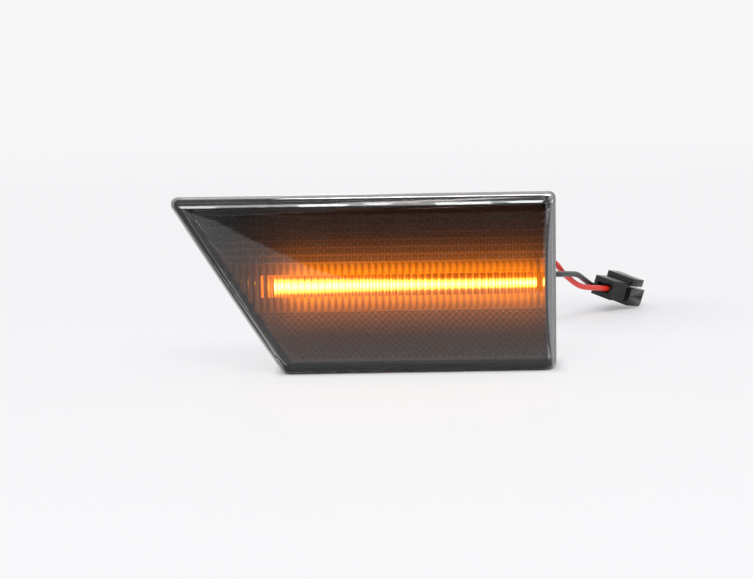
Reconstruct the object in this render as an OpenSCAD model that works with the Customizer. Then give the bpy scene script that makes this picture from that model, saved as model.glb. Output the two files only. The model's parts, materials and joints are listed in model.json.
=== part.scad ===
// Side repeater lamp for a vehicle's front wing: a smoked lens with moulded optics over a
// row of amber lamps, a snap-in housing behind it and a two-wire lead with a connector.
// Millimetres. The origin is the centre of the panel opening, in the plane where the seal
// meets the panel. +Z is up, and the lens looks along -Y.

/* [Lens] */
// Length of the lens along its top edge, before the corners are rounded
lens_w = 102.5; // [99:0.5:106]
// Height of the lens
lens_h = 47; // [46:0.5:50]
// How far the lower left corner lies inboard of the pointed upper one
slant = 30.5; // [26:0.5:31]
// Depth of the lens wall along the top and bottom edges
rim_d = 4.5; // [4.3:0.1:6]
// Rise of the curved face at mid height, above the top and bottom edges
crown_h = 5; // [4.5:0.5:7]
// Thickness of the lens
lens_t = 2; // [1.6:0.1:2.1]
// Radius of the outline's corners
corner_r = 1.8; // [1.6:0.1:3]
// Radius along the top and bottom edges of the face
edge_r = 1.4; // [0.8:0.1:2]
// Taper of the right end wall on the outside, in degrees
end_taper = 21; // [12:1:22]
// Taper of the slanted end wall on the outside, in degrees
slant_taper = 5; // [1:1:8]
// Taper of the top and bottom walls, in degrees
side_taper = 4; // [1:1:6]

/* [Moulded optics] */
// Width of one flute and of one pillow
optic_pitch = 1.75; // [1.5:0.05:2.5]
// Height of one pillow
pillow_h = 1.7; // [1.4:0.1:2.4]
// How far the pillows stand out of the lens
pillow_d = 0.35; // [0.2:0.05:0.5]
// How far the flutes stand out of the lens
flute_d = 0.35; // [0.2:0.05:0.5]
// Height of the fluted band
band_h = 12; // [9:0.1:14]
// How far the middle of the fluted band lies below mid height
band_drop = 0.6; // [0:0.1:2]
// Bare strip of lens above the pillows
top_margin = 5; // [4.8:0.1:8]
// Bare strip of lens below the pillows
bottom_margin = 4; // [3.6:0.1:6]
// Gap between the optics and the inside of the two end walls
end_gap = 0.3; // [0.2:0.1:3]

/* [Light bar] */
// Distance from the lens's left tip to the light bar
bar_from_left = 26; // [25:0.1:27.5]
// Distance from the light bar to the lens's right end
bar_from_right = 4.8; // [4.3:0.1:7]
// Height of the light bar
bar_h = 5.6; // [5:0.1:6]
// How far the light bar stands in front of the bezel
bar_proud = 1.2; // [0.6:0.1:2]
// Width of one of the light bar's fine ridges
ridge_pitch = 0.875; // [0.7:0.025:1.2]

/* [Housing] */
// Thickness of the flange
flange_t = 2.4; // [2:0.1:3]
// How far the flange's edge lies inside the lens's edge
flange_in = 0.4; // [0.2:0.1:1]
// Thickness of the foam seal
seal_t = 2; // [1.5:0.1:3]
// Width of the foam seal
seal_w = 4; // [3:0.5:4.5]
// Distance from the lens's left tip to the snap-in body
body_from_left = 30; // [29.5:0.5:32]
// Distance from the snap-in body to the lens's right end
body_from_right = 12; // [11.5:0.5:13.5]
// Height of the snap-in body
body_h = 26; // [24:1:27]
// Depth of the snap-in body behind the panel
body_d = 14; // [13:0.5:17]
// Wall of the snap-in body
body_t = 1.8; // [1.5:0.1:2.2]
// Reach of the fixed hook past the snap-in body
hook_reach = 2.4; // [1.5:0.1:2.4]
// Width of the hook and of the spring clip
catch_w = 9; // [7:0.5:10]

/* [Circuit board] */
// Thickness of the board
board_t = 1; // [0.8:0.1:1]
// Height of the board
board_h = 12; // [11.5:0.5:14]

/* [Lead] */
// Outer diameter of each wire
wire_d = 1.7; // [1.4:0.1:1.8]
// Diameter of the hole that the grommet fills
outlet_d = 7.2; // [6.8:0.1:8]

/* [Connector] */
// Length of the connector
plug_l = 17; // [16:0.5:18]
// Width of its wire end
plug_w = 7.2; // [7:0.1:8]
// Width of its mating end
socket_w = 9.6; // [9.2:0.1:10]

/* [Hidden] */
led_count = 18;
eps = 0.01;
fit = 0.15;

// Colours
smoke = [0.22, 0.20, 0.19, 0.6];
black_plastic = [0.07, 0.07, 0.075];
bezel_black = [0.10, 0.10, 0.10];
foam_grey = [0.16, 0.16, 0.17];
spring_steel = [0.72, 0.73, 0.74];
amber = [1.0, 0.62, 0.12];
board_white = [0.86, 0.87, 0.84];
chip_black = [0.09, 0.09, 0.10];
ceramic_tan = [0.62, 0.52, 0.40];
zinc = [0.78, 0.78, 0.76];
rubber_black = [0.05, 0.05, 0.05];
red_pvc = [0.83, 0.12, 0.10];
black_pvc = [0.08, 0.08, 0.09];
tin = [0.80, 0.79, 0.75];

// Distances in front of the panel
flange_b = seal_t;
skirt_f = flange_b + flange_t;
rim_f = skirt_f + rim_d;
crown_f = rim_f + crown_h;
boss_h = 0.5;
board_b = skirt_f + boss_h;
board_f = board_b + board_t;
led_t = 0.8;
fence_h = 2.7;
fence_f = skirt_f + fence_h;
bezel_t = 0.7;
bezel_f = fence_f + bezel_t;
bar_f = bezel_f + bar_proud;

// The face is part of a cylinder that runs along the lamp
crown_r = (pow(lens_h / 2, 2) + pow(crown_h, 2)) / (2 * crown_h);
slant_angle = atan(slant / lens_h);

// Ends of the light bar, and the place at a share of its length
bar_left = bar_from_left - lens_w / 2;
bar_right = lens_w / 2 - bar_from_right;
function along(share) = bar_left + share * (bar_right - bar_left);

// Insets from the lens's outline
fence_in = lens_t + 1.3;
fence_t = 1.4;
bezel_in = fence_in + 0.3;
board_in = fence_in + fence_t + 0.3;

// Snap-in body and what holds it in the panel
body_left = body_from_left - lens_w / 2;
body_right = lens_w / 2 - body_from_right;
pocket_back = body_d - body_t;
panel_t = 1;
hook_z = 3;
clip_t = 0.4;
peg_d = 2;
peg_y = 11;

// Board, lamps and screws
board_right = lens_w / 2 - board_in;
led_h = 2.8;
led_gap = 0.37;
led_in_left = 0.27;
led_in_right = 0.67;
led_pitch = (bar_right - bar_left - led_in_left - led_in_right) / led_count;
led_w = led_pitch - led_gap;
led_window_d = 2.2;
screw_d = 2;
screw_head_d = 3.4;
screw_head_t = led_t - fit;
boss_d = 4.4;
screws = [[bar_left + 0.9, 3.9], [bar_right - 2.9, -3.9]];
resistor_at = [0.09, 0.26, 0.43, 0.6, 0.69, 0.86];

// Outlet for the lead
outlet_from_end = 9;
outlet_x = body_right - outlet_from_end;
outlet_z = 2;
wire_gap = 2.6;
collar_t = 1.4;
nose_l = 5;
wire_start = body_d + collar_t + nose_l;

// Connector: where its wire end stands (its x from the outlet), how it lies, and its parts
plug_from_outlet = [42.5, 90.5, -19.5];
plug_at = plug_from_outlet + [outlet_x, 0, 0];
plug_turn = [14, 9.5, 52.5];
block_l = 9.7;
block_z = 1;
block_h = 6;
socket_h = 5.5;
bridge_z = 6.3;
bridge_t = 2.3;
bridge_l = 6.6;
cavity_w = 2.1;
cavity_h = 2.5;
cavity_z = block_z + block_h / 2;
cavity_l = 8.6;
plug_pitch = 2.5;
wire_reach = 2.6;
crimp_l = 2.4;
pin_w = 0.64;

// Where the two free wires run between the grommet and the connector, with x from the outlet
red_route = [
  [0, 26, 3.3], [1.4, 34, 3.1], [7, 43, 2.1], [16, 52, 0.1], [25.5, 61.5, -3.5],
  [30, 70, -8.7], [35.4, 77.6, -13.3]
];
black_route = [
  [0, 26, 0.7], [1.6, 34, 0.1], [7.6, 42, -1.6], [17, 50.5, -4.4], [26, 59, -7],
  [30.6, 66, -8], [34, 73, -9.2], [36.6, 80, -11.5]
];

// Corner points of the lens's outline, moved in by its own distance at each side
function left_edge(z, end_in = 0) =
  -lens_w / 2 + slant * (lens_h / 2 - z) / lens_h + end_in / cos(slant_angle);
function outline(left_in, right_in, side_in) =
  let (z = lens_h / 2 - side_in, right = lens_w / 2 - right_in)
  [[left_edge(z, left_in), z], [right, z], [right, -z], [left_edge(-z, left_in), -z]];

// How far the inside of the lens's face lies in front of the panel at height z
function face_inside(z) = crown_f - crown_r + sqrt(pow(crown_r - lens_t, 2) - z * z);

// A flat shape in the lamp's outline plane, from one distance in front of the panel to another
module slab(from, to) {
  translate([0, -from, 0]) rotate([90, 0, 0]) linear_extrude(to - from) children();
}

// The lamp's outline with round corners
module outline_shape(end_in = 0, side_in = 0, r = corner_r) {
  hull() for (p = outline(end_in + r, end_in + r, side_in + r)) translate(p)
    circle(r, $fn = 32);
}

// A rectangle with round corners
module panel_shape(left, right, low, high, r) {
  offset(r = r, $fn = 32) offset(delta = -r)
    translate([left, low]) square([right - left, high - low]);
}

// Something round that points to the rear from a place on the lamp
module rearward(x, y, z) {
  translate([x, y, z]) rotate([-90, 0, 0]) children();
}

// How far the hollow's end wall lies inside the lens's outline, where the outside has this taper
function hollow_in(f, taper) = lens_t / cos(0.7 * taper) + (f - skirt_f) * tan(0.7 * taper);

// One ring round the lens: the outline moved in, with round corners
corner_steps = 6;
ring_n = 4 * (corner_steps + 1);
function ring(f, left_in, right_in, side_in, r) =
  let (c = outline(left_in + r, right_in + r, side_in + r), left = 180 + slant_angle) [
    for (t = [[c[1], 0, 90], [c[0], 90, left], [c[3], left, 270], [c[2], 270, 360]])
      for (i = [0:corner_steps]) let (a = t[1] + (t[2] - t[1]) * i / corner_steps)
        [t[0].x + r * cos(a), -f, t[0].y + r * sin(a)]
  ];

// The lens's outer skin: its walls, the radius along its long edges, then its curved face
function outer_rings() =
  let (
    r = edge_r, mid = crown_f - crown_r, b = tan(side_taper),
    a = lens_h / 2 - r / cos(side_taper) + skirt_f * b,
    half = (mid + a * b) / (1 + b * b),
    f = half + sqrt(half * half - (mid * mid + a * a - pow(crown_r - r, 2)) / (1 + b * b)),
    z = a - b * f,
    turn = atan2(z, f - mid),
    section = [
      [skirt_f, lens_h / 2],
      for (i = [0:5]) let (t = 90 - side_taper + (turn - 90 + side_taper) * i / 5)
        [f + r * cos(t), z + r * sin(t)],
      for (i = [1:20]) let (t = turn * (1 - i / 20.5)) [mid + crown_r * cos(t), crown_r * sin(t)]
    ]
  )
  [
    for (p = section) let (side_in = lens_h / 2 - p[1])
      ring(p[0], (p[0] - skirt_f) * tan(slant_taper), (p[0] - skirt_f) * tan(end_taper), side_in,
        min(max(corner_r - 0.9 * side_in, 0.7), p[1] / 2))
  ];

// Rows of the lens's inner skin from the bottom up. Each row runs from the right end wall to the
// left one: pillows, then flutes, then pillows, each with a bare strip at its ends.
function inner_rows() =
  let (
    wall_z = lens_h / 2 - lens_t - 1.2,
    band_low = -band_drop - band_h / 2,
    band_high = band_low + band_h,
    margin = hollow_in(crown_f - lens_t, slant_taper) + end_gap,
    right = lens_w / 2 - hollow_in(crown_f - lens_t, end_taper) - end_gap
  )
  [
    inner_row(-wall_z, right, 0, 1, function(i) 0),
    each pillow_rows(bottom_margin - lens_h / 2, band_low - 0.3, right, margin),
    for (j = [0:6]) inner_row(band_low + j * band_h / 6, right, margin, optic_pitch / 4,
      function(i) flute_d * abs(sin(45 * i))),
    each pillow_rows(band_high + 0.3, lens_h / 2 - top_margin, right, margin),
    inner_row(wall_z, right, 0, 1, function(i) 0)
  ];

function pillow_rows(low, high, right, margin) =
  let (n = round((high - low) / (pillow_h / 2)))
  [
    for (j = [0:n]) inner_row(low + j * (high - low) / n, right, margin, optic_pitch / 2,
      function(i) (i + j) % 2 == 0 && j > 0 && j < n ? pillow_d : 0)
  ];

// One row: the places at the two walls, and between them a place at each step, which stands
// out by rise(i). A row without a margin has no places between the walls.
function inner_row(z, right, margin, step, rise) =
  let (
    f = face_inside(z),
    n = margin > 0 ? floor((right - left_edge(z, margin)) / step - 0.3) : -1
  )
  [
    [lens_w / 2 - hollow_in(f, end_taper), -f, z],
    for (i = [0:1:n]) [right - i * step, rise(i) - f, z],
    [left_edge(z, hollow_in(f, slant_taper)), -f, z]
  ];

// Triangles between two lists of places, a and b, whose keys both fall. Where the next keys are
// equal, the diagonal joins the two places that stand out least: that makes each pillow a pyramid.
function zip(a, b, key_a, key_b, out_a = [], out_b = []) = [
  for (
    s = [0, 0, zip_turn(key_a, key_b, out_a, out_b, 0, 0)];
    s[0] + s[1] < len(a) + len(b) - 2;
    s = let (i = s[0] + (s[2] ? 1 : 0), k = s[1] + (s[2] ? 0 : 1))
      [i, k, zip_turn(key_a, key_b, out_a, out_b, i, k)]
  ) s[2] ? [a[s[0]], a[s[0] + 1], b[s[1]]] : [a[s[0]], b[s[1] + 1], b[s[1]]]
];
function zip_turn(key_a, key_b, out_a, out_b, i, k) =
  k >= len(key_b) - 1 ? true :
  i >= len(key_a) - 1 ? false :
  abs(key_a[i + 1] - key_b[k + 1]) > 0.001 ? key_a[i + 1] > key_b[k + 1] :
  len(out_a) == 0 || out_a[i + 1] + out_b[k] < out_a[i] + out_b[k + 1];

// Direction of a place as seen from the middle of the lens, falling from start
function around(p, start) =
  let (t = atan2(p.z, p.x - 6)) t < start - 0.001 ? -t - 360 : -t;
function from(a, b, step = 1) = [for (i = [a:step:b]) i];

// The lens is one closed skin: the outer rings, the rim that rests on the flange, the inner
// walls, and the inner face with its pillows and flutes.
module lens() {
  outer = outer_rings();
  top = len(outer) - 1;
  inner_wall = ring(skirt_f, hollow_in(skirt_f, slant_taper), hollow_in(skirt_f, end_taper),
    lens_t, max(corner_r - lens_t, 0.6));
  rows = inner_rows();
  last = len(rows) - 1;
  q = len(outer) * ring_n;
  starts = [for (j = 0, at = q + ring_n; j <= last; at = at + len(rows[j]), j = j + 1) at];
  ends = [for (j = [0:last]) starts[j] + len(rows[j]) - 1];
  points = [for (r = outer) each r, each inner_wall, for (r = rows) each r];
  edge = concat(
    from(starts[last], ends[last]), [for (j = [last - 1:-1:0]) ends[j]],
    from(ends[0] - 1, starts[0], -1), [for (j = [1:last]) starts[j]]
  );
  rim = concat(from(q, q + ring_n - 1), [q]);
  function keys(loop) =
    let (start = -around(points[loop[0]], -360))
    [for (i = [0:len(loop) - 1]) i == len(loop) - 1 ? -start - 360 : around(points[loop[i]], start)];
  faces = concat(
    [from((top + 1) * ring_n - 1, top * ring_n, -1)],
    [for (j = [0:top - 1]) for (k = [0:ring_n - 1])
      let (u = j * ring_n, v = u + ring_n, m = (k + 1) % ring_n)
      each [[u + k, v + k, v + m], [u + k, v + m, u + m]]],
    [for (k = [0:ring_n - 1]) let (m = (k + 1) % ring_n)
      each [[k, q + m, q + k], [k, m, q + m]]],
    zip(rim, edge, keys(rim), keys(edge)),
    [for (j = [1:last]) let (a = rows[j], b = rows[j - 1])
      each zip(from(starts[j], ends[j]), from(starts[j - 1], ends[j - 1]),
        [for (p = a) p.x], [for (p = b) p.x], [for (p = a) p.y], [for (p = b) p.y])]
  );
  color(smoke) polyhedron(points, faces, convexity = 10);
}

module housing() {
  color(black_plastic) difference() {
    union() {
      slab(flange_b, skirt_f) outline_shape(flange_in, flange_in, corner_r - 0.3);
      slab(skirt_f, fence_f) difference() {
        outline_shape(fence_in, fence_in, 1.2);
        outline_shape(fence_in + fence_t, fence_in + fence_t, 0.6);
      }
      slab(-body_d, skirt_f) panel_shape(body_left, body_right, -body_h / 2, body_h / 2, 2);
      for (s = screws)
        translate([s.x, -skirt_f, s.y]) rotate([90, 0, 0]) cylinder(d = boss_d, h = boss_h);
      fixed_hook();
      clip_seat();
    }
    slab(-pocket_back, skirt_f + 1)
      panel_shape(body_left + body_t, body_right - body_t, body_t - body_h / 2, body_h / 2 - body_t, 1);
    for (s = screws) rearward(s.x, -board_b - 1, s.y)
      cylinder(d = screw_d, h = board_b + 1 - flange_b - 0.5);
    rearward(outlet_x, pocket_back - 1, outlet_z) cylinder(d = outlet_d, h = body_t + 2);
  }
}

// The fixed hook goes behind the panel's edge at the left end
module fixed_hook() {
  y = panel_t + 0.3;
  translate([body_left, 0, hook_z - catch_w / 2]) linear_extrude(catch_w)
    polygon([[0.5, y], [-hook_reach, y], [-hook_reach, y + 1.4], [0, y + 5], [0.5, y + 5]]);
}

// Two rails and a peg hold the spring clip on the right end
module clip_seat() {
  for (s = [-1, 1]) translate([body_right - 0.5, 8.6, s * (catch_w / 2 + 0.8) - 0.6])
    cube([1.7, body_d - 8.6, 1.2]);
  translate([body_right - 0.5, peg_y, 0]) rotate([0, 90, 0]) cylinder(d = peg_d, h = 1.3);
}

module seal() {
  color(foam_grey) slab(0, flange_b) difference() {
    outline_shape(flange_in + 0.8, flange_in + 0.8, corner_r - 0.6);
    outline_shape(flange_in + 0.8 + seal_w, flange_in + 0.8 + seal_w, 0.6);
    panel_shape(body_left - 0.3, body_right + 0.3, -body_h / 2 - 0.3, body_h / 2 + 0.3, 2);
  }
}

// Outline of a bent strip that follows a path
function strip(path, t) =
  let (n = len(path) - 1, side = [
    for (i = [0:n]) let (
      a = unit(path[max(i, 1)] - path[max(i, 1) - 1]),
      b = unit(path[min(i, n - 1) + 1] - path[min(i, n - 1)]),
      m = unit(a + b)
    ) [m.y, -m.x] * t / 2 / (m * a)
  ])
  concat([for (i = [0:n]) path[i] + side[i]], [for (i = [n:-1:0]) path[i] - side[i]]);
function unit(v) = v / norm(v);

// Spring clip: its foot lies on the body's end wall, and its bow presses on the panel's edge
module spring_clip() {
  foot = clip_t / 2;
  path = [
    [-1.6, body_d + foot], [foot, body_d + foot], [foot, 8.4], [0.5, 7.6],
    [1.5, 6.3], [2.3, 5.1], [2.5, 4.3], [2.35, 3.5], [1.7, 2.6], [1, 1.9], [0.8, 1.3]
  ];
  color(spring_steel) difference() {
    translate([body_right, 0, -catch_w / 2]) linear_extrude(catch_w) polygon(strip(path, clip_t));
    translate([body_right - 1, peg_y, 0]) rotate([0, 90, 0]) cylinder(d = peg_d, h = 3);
  }
}

module bezel() {
  color(bezel_black) difference() {
    union() {
      slab(fence_f, bezel_f) outline_shape(bezel_in, bezel_in, 1);
      slab(bezel_f, bezel_f + 0.5) translate([bar_left - 1.2, -bar_h / 2 - 1])
        square([bar_right - bar_left + 1.5, bar_h + 2]);
    }
    slab(fence_f - 1, bezel_f + 1) translate([bar_left - fit, -bar_h / 2 - fit])
      square([bar_right - bar_left + 2 * fit, bar_h + 2 * fit]);
  }
}

// The light bar's foot rests on the lamps, behind the bezel
module light_bar() {
  ridges = floor((bar_right - bar_left) / ridge_pitch);
  w = (bar_right - bar_left) / ridges;
  color(amber) {
    slab(board_f + led_t, fence_f) translate([bar_left - 0.6, -bar_h / 2 - 0.8])
      square([bar_right - bar_left, bar_h + 1.6]);
    translate([0, 0, -bar_h / 2]) linear_extrude(bar_h) polygon([
      [bar_right, -fence_f + eps], [bar_left, -fence_f + eps],
      for (i = [0:ridges - 1]) each [
        [bar_left + i * w, -bar_f + 0.3], [bar_left + (i + 0.5) * w, -bar_f]
      ],
      [bar_right, -bar_f + 0.3]
    ]);
  }
}

module circuit_board() {
  h = board_h / 2;
  color(board_white) difference() {
    slab(board_b, board_f) polygon([
      [left_edge(h, board_in), h], [board_right, h], [board_right, -h], [left_edge(-h, board_in), -h]
    ]);
    for (s = screws) rearward(s.x, -board_f - 1, s.y) cylinder(d = screw_d, h = board_t + 2);
  }
}

// One of the lamps, with the round window that its light comes out of
module led(i) {
  x = bar_left + led_in_left + (i - 0.5) * led_pitch;
  color(amber) difference() {
    translate([x - led_w / 2, -board_f - led_t, -led_h / 2]) cube([led_w, led_t, led_h]);
    rearward(x, -board_f - led_t - 1, 0) cylinder(d = led_window_d, h = 1.25);
  }
}

// A block on the board's rear with a lead at each place in pads
module board_chip(at, size, body_color, pads, pad) {
  translate([at.x, -board_b, at.y]) {
    color(body_color) translate([-size.x / 2, 0.1, -size.z / 2]) cube(size - [0, 0.1, 0]);
    color(tin) for (p = pads)
      translate([p.x - pad.x / 2, 0, p.y - pad.z / 2]) cube(pad);
  }
}

module driver_chip() {
  pads = [for (i = [-1.5:1.5]) for (s = [-1, 1]) [i * 1.27, s * 2.3]];
  board_chip([along(0.23), 0], [4.9, 1.5, 3.9], chip_black, pads, [0.42, 0.5, 1.4]);
}

module input_diode() {
  board_chip([along(0.63), 0], [4.2, 2, 2.6], chip_black, [[-2.2, 0], [2.2, 0]], [1, 0.6, 1.5]);
}

module input_capacitor() {
  board_chip([along(0.52), 0], [2.4, 1.7, 2.5], ceramic_tan, [[-1.3, 0], [1.3, 0]], [0.7, 1.7, 2.5]);
}

module output_capacitor() {
  board_chip([along(0.36), 0], [2.4, 1.7, 2.5], ceramic_tan, [[-1.3, 0], [1.3, 0]], [0.7, 1.7, 2.5]);
}

// Resistors stand on the board's front, in line above and below the lamps
module resistor(i) {
  z = i % 2 == 0 ? -4.6 : 4.6;
  translate([along(resistor_at[i - 1]), -board_f, z]) {
    color(chip_black) translate([-1, -0.55, -0.7]) cube([2, 0.55, 1.4]);
    color(tin) for (s = [-1, 1]) translate([s * 1.25 - 0.3, -0.6, -0.7]) cube([0.6, 0.6, 1.4]);
  }
}

module board_screw(at) {
  color(zinc) rearward(at.x, -board_f, at.y) {
    cylinder(d = screw_d, h = board_f - flange_b - 0.8);
    difference() {
      translate([0, 0, -screw_head_t]) cylinder(d = screw_head_d, h = screw_head_t);
      for (a = [0, 90]) rotate(a) translate([-1, -0.2, -screw_head_t - 0.6]) cube([2, 0.4, 1]);
    }
  }
}

module grommet() {
  r = outlet_d / 2;
  color(rubber_black) rearward(outlet_x, 0, outlet_z) difference() {
    rotate_extrude() polygon([
      [0, pocket_back - 1.2], [r + 0.8, pocket_back - 1.2], [r + 1, pocket_back], [r, pocket_back],
      [r, body_d], [r + 1.2, body_d], [r + 1.2, body_d + collar_t], [3.1, body_d + collar_t],
      [2.7, wire_start], [0, wire_start]
    ]);
    for (s = [-1, 1]) translate([0, s * wire_gap / 2, 0]) cylinder(d = wire_d, h = wire_start + 1);
  }
}

// The stretch of a wire between the board and the end of the grommet
module lead_inside(z, wire_color) {
  color(wire_color) rearward(outlet_x, -board_b, z) cylinder(d = wire_d, h = board_b + wire_start);
}

// A smooth curve through a list of points
function curve_point(a, b, c, d, t) =
  (2 * b + (c - a) * t + (2 * a - 5 * b + 4 * c - d) * t * t + (3 * b - a - 3 * c + d) * t * t * t) / 2;
function curve(p, steps) = [
  for (i = [1:len(p) - 3]) for (j = [0:steps - 1])
    curve_point(p[i - 1], p[i], p[i + 1], p[i + 2], j / steps),
  p[len(p) - 2]
];

// A place in the connector's own frame
function plug_point(p) =
  let (
    a = plug_turn.x, b = plug_turn.y, c = plug_turn.z,
    y1 = p.y * cos(a) - p.z * sin(a), z1 = p.y * sin(a) + p.z * cos(a),
    x2 = p.x * cos(b) + z1 * sin(b), z2 = z1 * cos(b) - p.x * sin(b)
  )
  plug_at + [x2 * cos(c) - y1 * sin(c), x2 * sin(c) + y1 * cos(c), z2];

module in_plug() {
  translate(plug_at) rotate(plug_turn) children();
}

// A round tube along a list of points, with flat ends
module tube(p, d, sides = 8) {
  n = len(p);
  rings = [
    for (i = [0:n - 1]) let (
      t = unit(p[min(i + 1, n - 1)] - p[max(i - 1, 0)]),
      a = unit(cross(t, [0, 0, 1])),
      b = cross(a, t)
    ) for (k = [0:sides - 1]) p[i] + d / 2 * (cos(360 * k / sides) * a + sin(360 * k / sides) * b)
  ];
  faces = [
    [for (k = [0:sides - 1]) k],
    for (i = [0:n - 2]) for (k = [0:sides - 1])
      let (u = i * sides, m = (k + 1) % sides, v = u + sides)
      each [[u + k, v + k, v + m], [u + k, v + m, u + m]],
    [for (k = [sides - 1:-1:0]) (n - 1) * sides + k]
  ];
  polyhedron(rings, faces, convexity = 10);
}

// A free wire, straight where it leaves the grommet and where it goes into the connector
module free_wire(start_z, route, cavity_y, wire_color) {
  start = [outlet_x, wire_start, start_z];
  places = [for (p = route) p + [outlet_x, 0, 0]];
  entry = plug_point([-4, cavity_y, cavity_z]);
  last = plug_point([wire_reach, cavity_y, cavity_z]);
  color(wire_color)
    tube(concat([start], curve(concat([start], places, [entry, last]), 3), [last]), wire_d);
}

module connector_shell() {
  socket_l = plug_l - block_l;
  color(rubber_black) in_plug() difference() {
    union() {
      translate([0, -plug_w / 2, block_z]) cube([block_l, plug_w, block_h]);
      translate([block_l - 0.8, -socket_w / 2, 0]) cube([socket_l + 0.8 - 1.2, socket_w, socket_h]);
      translate([block_l - 0.8, -socket_w / 2, 1.2]) cube([socket_l + 0.8, socket_w, socket_h - 1.2]);
      translate([plug_l - 1.2, 0, 1.2]) rotate([90, 0, 0])
        cylinder(r = 1.2, h = socket_w, center = true);
      translate([block_l - 1.4, -socket_w / 2, bridge_z]) cube([bridge_l, socket_w, bridge_t]);
    }
    for (s = [-1, 1]) translate([0, s * plug_pitch / 2, cavity_z]) {
      translate([-1, -cavity_w / 2, -cavity_h / 2]) cube([cavity_l + 1, cavity_w, cavity_h]);
      translate([0, -pin_w / 2, -pin_w / 2]) cube([plug_l, pin_w, pin_w]);
    }
    translate([block_l + 0.9, -socket_w / 2 + 1, 1]) cube([socket_l, socket_w - 2, socket_h - 2]);
    for (s = [-1, 1]) translate([block_l - 0.3, s * socket_w / 2 - 0.35, 2.9])
      cube([socket_l - 0.7, 0.7, 0.5]);
    translate([block_l + bridge_l - 1.9, -1.6, bridge_z + bridge_t - 0.6]) cube([2, 3.2, 1]);
  }
}

// A contact: crimp on the wire, box that locks in the cavity, and pin
module contact(cavity_y) {
  color(tin) in_plug() translate([wire_reach, cavity_y, cavity_z]) {
    rotate([0, 90, 0]) cylinder(d = 1.9, h = crimp_l);
    translate([crimp_l, -cavity_w / 2, -cavity_h / 2])
      cube([cavity_l - wire_reach - crimp_l, cavity_w, cavity_h]);
    translate([crimp_l, -pin_w / 2, -pin_w / 2])
      cube([plug_l - wire_reach - crimp_l - 1, pin_w, pin_w]);
  }
}

lens();
housing();
seal();
spring_clip();
bezel();
light_bar();
circuit_board();
for (i = [1:led_count]) led(i);
driver_chip();
input_diode();
input_capacitor();
output_capacitor();
for (i = [1:6]) resistor(i);
board_screw(screws[0]);  // left_screw
board_screw(screws[1]);  // right_screw
grommet();
lead_inside(outlet_z + wire_gap / 2, red_pvc);  // red_lead_inside
lead_inside(outlet_z - wire_gap / 2, black_pvc);  // black_lead_inside
free_wire(outlet_z + wire_gap / 2, red_route, -plug_pitch / 2, red_pvc);  // red_wire
free_wire(outlet_z - wire_gap / 2, black_route, plug_pitch / 2, black_pvc);  // black_wire
connector_shell();
contact(-plug_pitch / 2);  // red_contact
contact(plug_pitch / 2);  // black_contact
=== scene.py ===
"""Looks of a side repeater lamp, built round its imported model.

Sizes in the classes are in millimetres, as in the part's source, and become metres where a
mesh is made. The stage's sizes, and places that are read in a material, are in metres. +Z is up,
the lens looks along -Y, and the lamp stands on its lower edge.
"""

from __future__ import annotations

import json
import logging
import math
from dataclasses import dataclass, field
from enum import Enum
from typing import Callable, Sequence

import bmesh
import bpy
import numpy as np
from mathutils import Matrix, Vector

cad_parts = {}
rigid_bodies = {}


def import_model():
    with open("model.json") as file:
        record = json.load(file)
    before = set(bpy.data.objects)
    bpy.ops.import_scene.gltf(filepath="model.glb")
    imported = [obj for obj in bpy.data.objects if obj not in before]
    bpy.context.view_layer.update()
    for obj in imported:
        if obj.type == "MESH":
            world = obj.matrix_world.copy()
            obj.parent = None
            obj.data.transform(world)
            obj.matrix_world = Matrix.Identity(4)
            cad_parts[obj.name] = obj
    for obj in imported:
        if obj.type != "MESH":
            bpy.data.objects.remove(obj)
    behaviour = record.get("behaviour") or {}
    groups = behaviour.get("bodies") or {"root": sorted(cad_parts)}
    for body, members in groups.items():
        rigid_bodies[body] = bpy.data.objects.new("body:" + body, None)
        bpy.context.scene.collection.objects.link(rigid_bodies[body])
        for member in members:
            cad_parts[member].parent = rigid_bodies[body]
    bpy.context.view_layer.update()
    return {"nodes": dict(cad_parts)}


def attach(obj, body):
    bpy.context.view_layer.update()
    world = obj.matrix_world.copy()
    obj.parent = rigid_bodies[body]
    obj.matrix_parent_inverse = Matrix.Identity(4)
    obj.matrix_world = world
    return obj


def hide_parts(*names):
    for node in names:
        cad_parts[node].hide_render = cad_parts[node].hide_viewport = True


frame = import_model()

log = logging.getLogger("side_repeater")
MM = 0.001
PER_METRE = 1000.0
Point = Sequence[float]
Colour = tuple[float, float, float]
Node = bpy.types.Node
Socket = bpy.types.NodeSocket
# What a group is given, what it gives for its outputs, and what a finish gives for its shader's inputs
Given = bpy.types.NodeOutputs
Sockets = dict[str, Socket]
Look = dict[str, object]

# How far the slanted end moves to the left for each unit of height
SLANT = 0.634
# Distance between two flutes, in millimetres
PITCH = 1.75
DUST_COLOUR = (0.55, 0.54, 0.52)


# ---------------------------------------------------------------- node trees


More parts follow.
